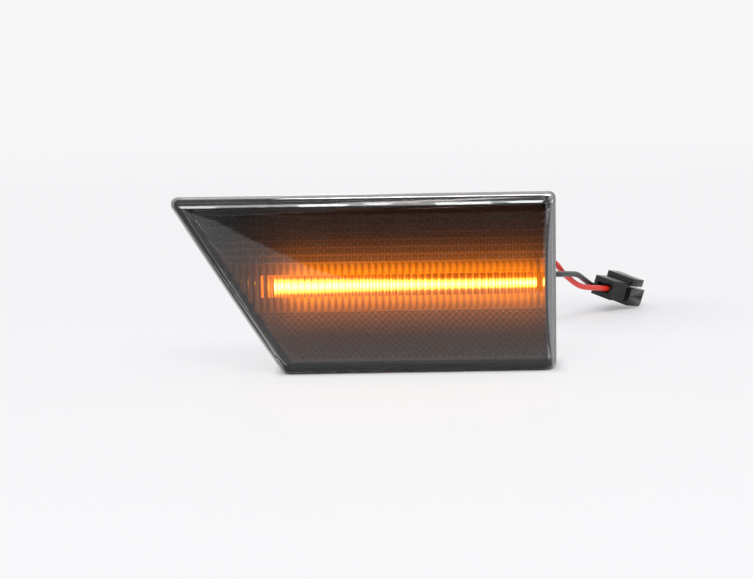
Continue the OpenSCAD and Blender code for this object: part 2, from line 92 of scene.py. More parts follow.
class Tree:
    """A node tree, with short calls that add and join its nodes."""

    def __init__(self, tree: bpy.types.NodeTree) -> None:
        """Keeps the tree that the calls work on."""
        self.tree = tree

    @property
    def here(self) -> Socket:
        """The object coordinates, in metres."""
        return self.add("TexCoord").outputs["Object"]

    @property
    def end(self) -> Node:
        """The material's output node."""
        return next(n for n in self.tree.nodes if n.type == "OUTPUT_MATERIAL")

    def add(self, kind: str, *values: object, settings: dict | None = None, **named: object) -> Node:
        """Adds one node.

        Args:
            kind: The node's type without its ShaderNode prefix.
            values: Numbers, colours or output sockets for its inputs, in order.
            settings: Attributes to set on the node.
            named: The same as values for inputs by name, with _ for a space.

        Returns:
            The new node.
        """
        node = self.tree.nodes.new("ShaderNode" + kind)
        for key, value in (settings or {}).items():
            setattr(node, key, value)
        self.give(node, *values, **named)
        return node

    def give(self, node: Node, *values: object, **named: object) -> None:
        """Sets or joins inputs of a node, which are given as to add."""
        for index, value in enumerate(values):
            self.join(node.inputs[index], value)
        for key, value in named.items():
            self.join(node.inputs[key.replace("_", " ")], value)

    def join(self, entry: Socket, value: object) -> None:
        """Sets one input to a number or a colour, or joins an output socket to it."""
        if isinstance(value, bpy.types.NodeSocket):
            self.tree.links.new(value, entry)
        elif isinstance(value, tuple) and len(value) == 3 and len(entry.default_value) == 4:
            entry.default_value = (*value, 1.0)
        else:
            entry.default_value = value

    def math(self, operation: str, *values: object) -> Socket:
        """Adds a Math node and gives its output."""
        return self.add("Math", *values, settings={"operation": operation}).outputs[0]

    def blend(self, base: object, *parts: tuple[object, object]) -> Socket:
        """Adds parts to a base.

        Args:
            base: A number or a socket.
            parts: Pairs of a socket and the number that it is multiplied by.

        Returns:
            The sum's socket.
        """
        for value, share in parts:
            base = self.math("MULTIPLY_ADD", value, share, base)
        return base

    def between(self, share: Socket, first: Socket, second: Socket) -> Socket:
        """Gives the first value at a share of 0 and the second at 1."""
        return self.math("ADD", first, self.math("MULTIPLY", share, self.math("SUBTRACT", second, first)))

    def span(self, value: Socket, start: float, stop: float, low: float = 0.0, high: float = 1.0) -> Socket:
        """Maps a value from one range to another, and keeps it inside.

        Args:
            value: The value's socket.
            start: The value that gives low.
            stop: The value that gives high.
            low: The result at the start and before it.
            high: The result at the stop and past it.

        Returns:
            The result's socket.
        """
        return self.add("MapRange", value, start, stop, low, high).outputs[0]

    def axis(self, name: str, unit: float = 1.0) -> Socket:
        """Gives the object coordinate on an axis in metres, times the unit if that isn't 1."""
        place = self.add("SeparateXYZ", self.here).outputs[name]
        return place if unit == 1.0 else self.math("MULTIPLY", place, unit)

    def noise(self, size_mm: Socket, **inputs: float) -> Socket:
        """Adds noise of a size in millimetres over the object coordinates."""
        scale = self.math("DIVIDE", PER_METRE, size_mm)
        return self.add("TexNoise", Vector=self.here, Scale=scale, **inputs).outputs[0]

    def ramp(self, value: Socket, stops: Sequence[tuple[float, Colour]]) -> Socket:
        """Adds a colour ramp.

        Args:
            value: The socket that drives it.
            stops: Places from 0 to 1 with their colours.

        Returns:
            Its colour socket.
        """
        node = self.add("ValToRGB", value)
        elements = node.color_ramp.elements
        while len(elements) < len(stops):
            elements.new(0.5)
        for element, (place, colour) in zip(elements, stops):
            element.position, element.color = place, (*colour, 1.0)
        return node.outputs["Color"]

    def mix(self, factor: object, first: object, second: object, blend: str = "MIX") -> Socket:
        """Mixes two colours.

        Args:
            factor: Share of the second colour, a number or a socket.
            first: The first colour or socket.
            second: The second colour or socket.
            blend: The way they are mixed.

        Returns:
            The mixed colour's socket.
        """
        node = self.add("Mix", settings={"data_type": "RGBA", "blend_type": blend})
        for index, value in ((0, factor), (6, first), (7, second)):
            self.join(node.inputs[index], value)
        return node.outputs[2]

    def grey(self, level: Socket) -> Socket:
        """Turns a level into a grey."""
        return self.add("CombineColor", level, level, level).outputs[0]

    def bump(self, height: Socket, depth_mm: float, strength: float = 1.0) -> Socket:
        """Turns a height from 0 to 1 into a normal, with a height of 1 as deep as depth_mm."""
        return self.add("Bump", Height=height, Distance=depth_mm * MM, Strength=strength).outputs[0]


class EffectGroup:
    """A shader node group that the materials share. The first one that asks for it builds it."""

    name = ""
    inputs: dict[str, float] = {}
    outputs: tuple[str, ...] = ()

    def __init__(self) -> None:
        """Makes the group's sockets and fills it."""
        self.group = bpy.data.node_groups.new(self.name, "ShaderNodeTree")
        for key, value in self.inputs.items():
            socket = self.group.interface.new_socket(key, in_out="INPUT", socket_type="NodeSocketFloat")
            socket.default_value = value
        for key in self.outputs:
            self.group.interface.new_socket(key, in_out="OUTPUT", socket_type="NodeSocketFloat")
        entry = self.group.nodes.new("NodeGroupInput")
        leave = self.group.nodes.new("NodeGroupOutput")
        for key, socket in self.fill(Tree(self.group), entry.outputs).items():
            self.group.links.new(socket, leave.inputs[key])

    def fill(self, tree: Tree, given: Given) -> Sockets:
        """Adds the group's nodes.

        Args:
            tree: The group's tree.
            given: The group's input values.

        Returns:
            The socket for each output.
        """
        raise NotImplementedError

    @classmethod
    def place(cls, tree: Tree, **inputs: object) -> Given:
        """Puts the group in a material.

        Args:
            tree: The material's tree.
            inputs: The group's values in this material, with _ for a space.

        Returns:
            The group node's outputs.
        """
        node = tree.tree.nodes.new("ShaderNodeGroup")
        node.node_tree = bpy.data.node_groups.get(cls.name) or cls().group
        tree.give(node, **inputs)
        return node.outputs


class MouldGrain(EffectGroup):
    """The fine eroded grain of an injection mould, with a slow change of gloss."""

    name = "mould grain"
    inputs = {"Grain mm": 0.2, "Patch mm": 8.0}
    outputs = ("Height", "Gloss change", "Shade")

    def fill(self, tree: Tree, given: Given) -> Sockets:
        """Adds fine noise for the grain and coarse noise for the gloss and shade."""
        grain = tree.noise(given["Grain mm"], Detail=3.0, Roughness=0.6)
        patch = tree.noise(given["Patch mm"], Detail=2.0)
        return {"Height": grain, "Gloss change": tree.math("SUBTRACT", patch, 0.5), "Shade": patch}


class EdgePolish(EffectGroup):
    """Edges that handling has polished: a mask that is 1 on the sharpest ones."""

    name = "edge polish"
    inputs = {"Reach": 0.06, "Break-up mm": 1.5}
    outputs = ("Mask",)

    def fill(self, tree: Tree, given: Given) -> Sockets:
        """Adds a mask from the mesh's sharpness, broken up by noise."""
        above = tree.math("SUBTRACT", tree.add("NewGeometry").outputs["Pointiness"], 0.5)
        edge = tree.math("DIVIDE", above, given["Reach"])
        noise = tree.noise(given["Break-up mm"], Detail=2.0)
        mask = tree.add("Math", edge, noise, settings={"operation": "MULTIPLY", "use_clamp": True})
        return {"Mask": mask.outputs[0]}


class SettledDust(EffectGroup):
    """Dust on what looks up: a speckled mask."""

    name = "settled dust"
    inputs = {"Amount": 0.3, "Speck mm": 0.5}
    outputs = ("Mask",)

    def fill(self, tree: Tree, given: Given) -> Sockets:
        """Adds specks that grow denser on faces that look up."""
        up = tree.add("SeparateXYZ", tree.add("NewGeometry").outputs["Normal"]).outputs["Z"]
        noise = tree.noise(given["Speck mm"], Detail=4.0, Roughness=0.7)
        part = tree.math("MULTIPLY", tree.span(up, -0.2, 1.0), tree.span(noise, 0.52, 0.72))
        return {"Mask": tree.math("MULTIPLY", part, given["Amount"])}


class DrawnLines(EffectGroup):
    """Fine lines along a drawn or rolled piece, such as a wire or a strip of spring steel."""

    name = "drawn lines"
    inputs = {"Line mm": 0.25, "Run mm": 9.0}
    outputs = ("Height", "Shade")

    def fill(self, tree: Tree, given: Given) -> Sockets:
        """Adds noise that is stretched along Y, the way the strip and wires run."""
        fine, run = (tree.math("DIVIDE", PER_METRE, given[key]) for key in ("Line mm", "Run mm"))
        scale = tree.add("CombineXYZ", fine, run, fine).outputs[0]
        moved = tree.add("VectorMath", tree.here, scale, settings={"operation": "MULTIPLY"})
        noise = tree.add("TexNoise", Vector=moved.outputs[0], Scale=1.0, Detail=3.0).outputs[0]
        return {"Height": noise, "Shade": noise}


class BarDistance(EffectGroup):
    """How far a place is from the middle line of the lit bar, in millimetres."""

    name = "distance from the bar"
    inputs = {"Left mm": -15.0, "Right mm": 42.0, "End falloff": 0.85}
    outputs = ("Distance",)

    def fill(self, tree: Tree, given: Given) -> Sockets:
        """Adds the distance, which grows faster past the bar's two ends."""
        x, z = tree.axis("X", PER_METRE), tree.axis("Z", PER_METRE)
        before = tree.math("SUBTRACT", given["Left mm"], x)
        after = tree.math("SUBTRACT", x, given["Right mm"])
        past = tree.math("MAXIMUM", tree.math("MAXIMUM", before, after), 0.0)
        past = tree.math("MULTIPLY", past, given["End falloff"])
        squares = tree.math("ADD", tree.math("MULTIPLY", past, past), tree.math("MULTIPLY", z, z))
        return {"Distance": tree.math("SQRT", squares)}


class OpticPaintedShade(EffectGroup):
    """How clear the moulded optics look: painted shade between the pillows and in the cusps of the flutes."""

    name = "painted shade of the optics"
    inputs = {"Pitch mm": PITCH, "Row mm": 1.85, "Right mm": 47.25}
    outputs = ("Clear",)
    # In millimetres: the band's middle, where the band fades in, where the rows below it start and
    # how much further up those above it do, where the slanted margin fades out, and the height
    middle, band = 0.1, (6.8, 5.8)
    first_row, next_field = -6.45, 13.1
    margin, half_height = (-33.0, -28.0), 19.0

    def fill(self, tree: Tree, given: Given) -> Sockets:
        """Adds painted shade for staggered pillows above and below the band and for flutes in it, with a bare
        margin round them.
        """
        x, z = tree.axis("X", PER_METRE), tree.axis("Z", PER_METRE)
        above = tree.math("GREATER_THAN", z, self.middle)
        start = tree.blend(self.first_row, (above, self.next_field))
        across = tree.math("DIVIDE", tree.math("SUBTRACT", given["Right mm"], x), given["Pitch mm"])
        up = tree.math("DIVIDE", tree.math("SUBTRACT", z, start), given["Row mm"])
        column, half_column, row, half_row = (
            tree.math("COSINE", tree.math("MULTIPLY", value, turns * math.tau))
            for value in (across, up) for turns in (1, 2)
        )
        lattice = tree.math("MULTIPLY", column, row)
        lower = tree.blend(0.56, (row, 0.08), (lattice, 0.45))
        upper = tree.blend(0.5, (half_column, 0.12), (half_row, 0.26), (lattice, 0.2), (row, 0.28))
        flutes = tree.blend(0.8, (column, -0.2))
        band = tree.span(tree.math("ABSOLUTE", tree.math("SUBTRACT", z, self.middle)), *self.band)
        clear = tree.between(band, tree.between(above, lower, upper), flutes)
        inside = tree.math("LESS_THAN", tree.math("ABSOLUTE", z), self.half_height)
        inside = tree.math("MULTIPLY", tree.span(tree.blend(x, (z, SLANT)), *self.margin), inside)
        # Painted shade between the pillows and in the cusps of the flutes, only where the optics are, not on
        # the bare margin
        dark = tree.math("MULTIPLY", inside, tree.math("SUBTRACT", 1.0, clear))
        return {"Clear": tree.math("SUBTRACT", 1.0, dark)}


# ---------------------------------------------------------------- finishes


def new_material(name: str) -> tuple[bpy.types.Material, Tree, Node]:
    """Makes a material with a Principled shader, and gives it with its tree and that shader."""
    material = bpy.data.materials.new(name)
    material.use_nodes = True
    material.node_tree.nodes.clear()
    tree = Tree(material.node_tree)
    shader = tree.add("BsdfPrincipled")
    tree.add("OutputMaterial", Surface=shader.outputs[0])
    return material, tree, shader


def scaled(colour: Colour, share: float) -> Colour:
    """Multiplies a colour by a number."""
    return tuple(c * share for c in colour)


class Finish:
    """What the lamp's materials share: each class below gives the inputs of its shader."""

    name: str

    def build(self) -> bpy.types.Material:
        """Makes the material."""
        material, tree, shader = new_material(self.name)
        tree.give(shader, **self.paint(tree))
        return material

    def paint(self, tree: Tree) -> Look:
        """Adds the nodes of the finish.

        Args:
            tree: The material's tree.

        Returns:
            Values and sockets for the shader's inputs, with _ for a space.
        """
        raise NotImplementedError


@dataclass(frozen=True)
class MouldedPlastic(Finish):
    """Moulded plastic or rubber, with grain, polished edges and a little dust."""

    name: str
    colour: Colour
    roughness: float
    grain_mm: float = 0.18
    depth_mm: float = 0.004
    worn: Colour = (0.16, 0.16, 0.16)
    dust: float = 0.25
    shine: float = 0.5

    def paint(self, tree: Tree) -> Look:
        """Adds the grain, paler edges and the dust."""
        grain = MouldGrain.place(tree, Grain_mm=self.grain_mm)
        edge = EdgePolish.place(tree)["Mask"]
        dust = SettledDust.place(tree, Amount=self.dust)["Mask"]
        base = tree.mix(grain["Shade"], scaled(self.colour, 0.8), scaled(self.colour, 1.2))
        base = tree.mix(tree.math("MULTIPLY", edge, 0.5), base, self.worn)
        return dict(
            Base_Color=tree.mix(dust, base, DUST_COLOUR),
            Roughness=tree.blend(self.roughness, (grain["Gloss change"], 0.25), (edge, -0.08), (dust, 0.4)),
            Specular_IOR_Level=self.shine,
            Normal=tree.bump(grain["Height"], self.depth_mm),
        )


@dataclass(frozen=True)
class SmokedClear(Finish):
    """The lens's smoked clear plastic: a polished moulding with faint handling marks."""

    name: str = "smoked clear plastic"
    tint: Colour = (0.60, 0.57, 0.56)
    smoke: Colour = (0.02, 0.015, 0.012)
    density: float = 100.0
    # Share of the tint left where the optics get their full painted shade
    painted_shade_share: float = 0.42
    roughness: float = 0.02
    ior: float = 1.57

    def paint(self, tree: Tree) -> Look:
        """Adds the tint, darkened by painted shade on the optics, with faint marks, and the smoke inside."""
        grain = MouldGrain.place(tree, Grain_mm=1.2, Patch_mm=14.0)
        dust = SettledDust.place(tree, Amount=0.05, Speck_mm=0.35)["Mask"]
        clear = tree.mix(grain["Shade"], self.tint, scaled(self.tint, 1.04))
        optics = OpticPaintedShade.place(tree)["Clear"]
        smoke = tree.add("VolumeAbsorption", Color=self.smoke, Density=self.density)
        tree.give(tree.end, Volume=smoke.outputs[0])
        return dict(
            Base_Color=tree.mix(optics, scaled(self.tint, self.painted_shade_share), clear),
            Roughness=tree.math("ADD", tree.blend(self.roughness, (grain["Gloss change"], 0.015)), dust),
            Transmission_Weight=1.0,
            IOR=self.ior,
            Normal=tree.bump(grain["Height"], 0.0006, 0.5),
        )


@dataclass(frozen=True)
class LitGuide(Finish):
    """The lit amber bar: brightest along its middle, with the stripes of its ridges."""

    name: str = "lit amber bar"
    amber: Colour = (1.0, 0.42, 0.045)
    glow: Colour = (1.0, 0.22, 0.004)
    ends: tuple[float, float] = (-22.9, 45.2)
    ridge: float = 0.4375
    strength: float = 58.0

    def paint(self, tree: Tree) -> Look:
        """Adds light by distance from the middle line, wider at the left, with stripes."""
        left, right = self.ends
        away = BarDistance.place(tree, Left_mm=left, Right_mm=right, End_falloff=3.6)["Distance"]
        levels = [(0.0, 1.0), (0.5, 0.80), (1.0, 0.34), (1.4, 0.14), (2.0, 0.055), (2.8, 0.038)]
        stops = [(d / 4, scaled(self.amber if d < 2 else self.glow, v)) for d, v in levels]
        x = tree.axis("X")
        narrower = tree.span(x, -0.022, 0.047, 0.22, 0.34)
        core = tree.ramp(tree.math("MULTIPLY", away, narrower), stops)
        wave = tree.math("SINE", tree.math("MULTIPLY", x, math.tau / (self.ridge * MM)))
        ridges = tree.math("POWER", tree.blend(0.7, (wave, 0.3)), 1.5)
        shade = tree.math("MULTIPLY", MouldGrain.place(tree, Patch_mm=5.0)["Shade"], 0.5)
        level = tree.math("MULTIPLY", ridges, tree.math("ADD", shade, 0.75))
        return dict(
            Emission_Color=tree.mix(1.0, core, tree.grey(level), "MULTIPLY"),
            Emission_Strength=self.strength,
            Base_Color=tree.mix(shade, (0.9, 0.4, 0.08), (0.8, 0.3, 0.05)),
            Roughness=0.3,
        )


@dataclass(frozen=True)
class BezelWithPaintedGlow(Finish):
    """The black bezel, with the bar's glow painted over it as emission, and painted grey light at its lower
    edge and slanted end.
    """

    name: str = "black bezel plastic with painted glow"
    colour: Colour = (0.042, 0.039, 0.038)
    # Colour of the painted glow, how far it reaches in millimetres, and its emission strength
    glow: Colour = (1.0, 0.235, 0.004)
    reach: float = 22.0
    strength: float = 2.1
    # Contrast of the painted glow's stripes, and half the height that has them, in metres
    ripple: float = 0.3
    striped: float = 0.006
    # Levels of the painted grey light at the lower edge and at the slanted end
    below: float = 0.039
    painted_slant_light: float = 0.009

    def paint(self, tree: Tree) -> Look:
        """Adds the painted glow, with stripes behind the band, and painted grey light below and at the
        slanted end.
        """
        grain = MouldGrain.place(tree, Grain_mm=0.3, Patch_mm=6.0)
        away = BarDistance.place(tree)["Distance"]
        levels = [
            (0.0, 1.5), (3.0, 1.4), (4.0, 1.12), (5.2, 0.72), (6.7, 0.41), (8.5, 0.245), (10.4, 0.15),
            (12.4, 0.072), (14.0, 0.045), (16.0, 0.030), (18.0, 0.022), (22.0, 0.0),
        ]
        stops = [(d / self.reach, scaled(self.glow, v)) for d, v in levels]
        # Painted glow of the bar on the bezel, fading with distance from the bar
        painted_glow = tree.ramp(tree.math("DIVIDE", away, self.reach), stops)
        x, z = tree.axis("X"), tree.axis("Z")
        wave = tree.math("SINE", tree.math("MULTIPLY", x, math.tau / (PITCH * MM)))
        near = tree.math("LESS_THAN", tree.math("ABSOLUTE", z), self.striped)
        stripes = tree.grey(tree.blend(1.0, (tree.math("MULTIPLY", wave, near), self.ripple)))
        # Painted grey light, as from the pale floor and room, at the lower edge and at the slanted end
        below = tree.span(z, -0.014, -0.022, 0.0, self.below)
        painted_slant_light = tree.span(tree.blend(x, (z, SLANT)), -0.018, -0.030, 0.0, self.painted_slant_light)
        pale = tree.grey(tree.math("MAXIMUM", below, painted_slant_light))
        return dict(
            Emission_Color=tree.mix(1.0, tree.mix(1.0, painted_glow, stripes, "MULTIPLY"), pale, "ADD"),
            Emission_Strength=self.strength,
            Base_Color=tree.mix(grain["Shade"], scaled(self.colour, 0.75), self.colour),
            Roughness=tree.blend(0.45, (grain["Gloss change"], 0.2)),
            Normal=tree.bump(grain["Height"], 0.01),
        )


@dataclass(frozen=True)
class LampResin(Finish):
    """The amber resin of a lamp on the board, lit from inside."""

    name: str = "lit lamp resin"
    colour: Colour = (1.0, 0.42, 0.04)
    strength: float = 6.0

    def paint(self, tree: Tree) -> Look:
        """Adds uneven light and a soft grain."""
        grain = MouldGrain.place(tree, Grain_mm=0.3, Patch_mm=1.2)
        lit = tree.mix(grain["Shade"], scaled(self.colour, 0.6), self.colour)
        return dict(
            Base_Color=lit, Emission_Color=lit, Emission_Strength=self.strength, Roughness=0.35,
            Normal=tree.bump(grain["Height"], 0.01),
        )


@dataclass(frozen=True)
class RolledMetal(Finish):
    """Rolled or plated metal with fine lines and bright edges."""

    name: str
    colour: Colour
    roughness: float
    line_mm: float = 0.12
    bright: Colour = (0.9, 0.9, 0.9)

    def paint(self, tree: Tree) -> Look:
        """Adds the lines, patches of gloss and the bright edges."""
        lines = DrawnLines.place(tree, Line_mm=self.line_mm, Run_mm=6.0)
        patch = MouldGrain.place(tree, Grain_mm=0.4, Patch_mm=3.0)
        base = tree.mix(lines["Shade"], scaled(self.colour, 0.78), self.colour)
        return dict(
            Base_Color=tree.mix(EdgePolish.place(tree)["Mask"], base, self.bright),
            Roughness=tree.blend(self.roughness, (patch["Gloss change"], 0.3)),
            Metallic=1.0,
            Normal=tree.bump(lines["Height"], 0.004),
        )


@dataclass(frozen=True)
class CellFoam(Finish):
    """Closed-cell foam: small round cells on a matt dark surface."""

    name: str = "closed-cell foam"
    colour: Colour = (0.035, 0.035, 0.037)
    cell_mm: float = 0.55

    def paint(self, tree: Tree) -> Look:
        """Adds the cells, with painted shade in their hollow middles."""
        cells = tree.add("TexVoronoi", Vector=tree.here, Scale=PER_METRE / self.cell_mm)
        grain = MouldGrain.place(tree, Grain_mm=0.15, Patch_mm=5.0)
        wall = tree.math("MULTIPLY", cells.outputs["Distance"], 1.3)
        # Painted shade: the cells' hollow middles darker than their walls
        base = tree.mix(wall, scaled(self.colour, 0.45), scaled(self.colour, 1.7))
        return dict(
            Base_Color=tree.mix(0.3, base, grain["Shade"], "MULTIPLY"),
            Roughness=tree.blend(0.88, (grain["Gloss change"], 0.1)),
            Normal=tree.bump(wall, 0.12),
        )


@dataclass(frozen=True)
class WireSheath(Finish):
    """The glossy sheath of a thin wire, with faint lines along it."""

    name: str
    colour: Colour
    roughness: float = 0.32

    def paint(self, tree: Tree) -> Look:
        """Adds the lines and patches of gloss."""
        lines = DrawnLines.place(tree)
        grain = MouldGrain.place(tree, Grain_mm=0.3, Patch_mm=4.0)
        return dict(
            Base_Color=tree.mix(lines["Shade"], scaled(self.colour, 0.85), scaled(self.colour, 1.12)),
            Roughness=tree.blend(self.roughness, (grain["Gloss change"], 0.3)),
            Normal=tree.bump(lines["Height"], 0.006),
        )


@dataclass(frozen=True)
class BoardMask(Finish):
    """The board's white solder mask, with the tracks raised a little under it."""

    name: str = "white solder mask"
    colour: Colour = (0.72, 0.73, 0.70)

    def paint(self, tree: Tree) -> Look:
        """Adds the tracks, and patches of shade and gloss."""
        tracks = tree.add(
            "TexBrick", Vector=tree.here, Scale=120.0, Mortar_Size=0.03, Brick_Width=0.9, Row_Height=0.22
        ).outputs["Fac"]
        grain = MouldGrain.place(tree, Grain_mm=0.2, Patch_mm=3.0)
        shade = tree.mix(tracks, self.colour, scaled(self.colour, 0.82))
        return dict(
            Base_Color=tree.mix(0.12, shade, grain["Shade"], "MULTIPLY"),
            Roughness=tree.blend(0.35, (grain["Gloss change"], 0.2)),
            Normal=tree.bump(tracks, 0.03),
        )


class Finishes:
    """Every finish on the lamp, built once and found by name."""

    def __init__(self) -> None:
        """Builds the materials."""
        makers = {
            "lens": SmokedClear(),
            "housing": MouldedPlastic("black housing plastic", (0.022, 0.022, 0.024), 0.46),
            "bezel": BezelWithPaintedGlow(),
            "grommet": MouldedPlastic(
                "black rubber", (0.018, 0.018, 0.019), 0.62, 0.3, 0.01, (0.07, 0.07, 0.07)
            ),
            "connector": MouldedPlastic(
                "black connector plastic", (0.007, 0.007, 0.008), 0.22, 0.25, 0.003, (0.04, 0.04, 0.04),
                dust=0.06, shine=0.32,
            ),
            "foam": CellFoam(),
            "bar": LitGuide(),
            "lamp": LampResin(),
            "board": BoardMask(),
            "spring": RolledMetal("spring steel", (0.62, 0.62, 0.63), 0.28),
            "zinc": RolledMetal("zinc-plated screw", (0.66, 0.66, 0.62), 0.36, 0.2),
            "tin": RolledMetal("tin plating", (0.72, 0.71, 0.68), 0.3, 0.2),
            "chip": MouldedPlastic("black chip resin", (0.030, 0.030, 0.032), 0.6, 0.08, 0.006, dust=0.0),
            "ceramic": MouldedPlastic(
                "tan ceramic", (0.42, 0.30, 0.18), 0.4, 0.1, 0.003, (0.5, 0.4, 0.3), dust=0.0
            ),
            "red": WireSheath("red wire sheath", (0.86, 0.030, 0.016)),
            "black": WireSheath("black wire sheath", (0.010, 0.010, 0.011)),
        }
        self.made = {key: maker.build() for key, maker in makers.items()}

    def __getitem__(self, key: str) -> bpy.types.Material:
        """Gives the finish of that name."""
        return self.made[key]


# ---------------------------------------------------------------- meshes


# Angles in degrees: what counts as flat, and past which edges are rounded, stay sharp, or are sharp
# in the lens
FLAT, ROUNDED, SHARP, LENS_SHARP = 0.5, 28, 32, 24


def new_object(name: str, data: bpy.types.ID) -> bpy.types.Object:
    """Makes an object from its data and puts it in the scene."""
    made = bpy.data.objects.new(name, data)
    bpy.context.collection.objects.link(made)
    return made


def rounded_copy(
    node: str, material: bpy.types.Material, width: float, segments: int = 2
) -> bpy.types.Object:
    """Makes a copy of a CAD piece with its edges rounded, and lets it stand for that piece.

    Args:
        node: The CAD node.
        material: The copy's material.
        width: Width of the rounding in millimetres.
        segments: Steps in the rounding.

    Returns:
        The rounded piece.
    """
    mesh = frame["nodes"][node].data.copy()
    work = bmesh.new()
    work.from_mesh(mesh)
    bmesh.ops.remove_doubles(work, verts=work.verts, dist=1e-6)
    bmesh.ops.dissolve_limit(work, angle_limit=math.radians(FLAT), verts=work.verts, edges=work.edges)
    work.to_mesh(mesh)
    work.free()
    mesh.materials.clear()
    mesh.materials.append(material)
    made = new_object(f"{node}_rounded", mesh)
    modifier = made.modifiers.new("rounded edges", "BEVEL")
    modifier.width, modifier.segments = width * MM, segments
    modifier.limit_method, modifier.angle_limit = "ANGLE", math.radians(ROUNDED)
    modifier.use_clamp_overlap = True
    bpy.context.view_layer.update()
    done = bpy.data.meshes.new_from_object(made.evaluated_get(bpy.context.evaluated_depsgraph_get()))
    made.modifiers.clear()
    made.data = done
    done.shade_smooth()
    done.set_sharp_from_angle(angle=math.radians(SHARP))
    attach(made, "root")
    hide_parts(node)
    log.info("%s: %d faces", made.name, len(done.polygons))
    return made


def dress(node: str, *materials: bpy.types.Material) -> None:
    """Gives a CAD piece its finish.

    Args:
        node: The CAD node.
        materials: One material for each of its slots, the last one for the rest.
    """
    for index, slot in enumerate(frame["nodes"][node].material_slots):
        slot.material = materials[min(index, len(materials) - 1)]


# ---------------------------------------------------------------- the lens


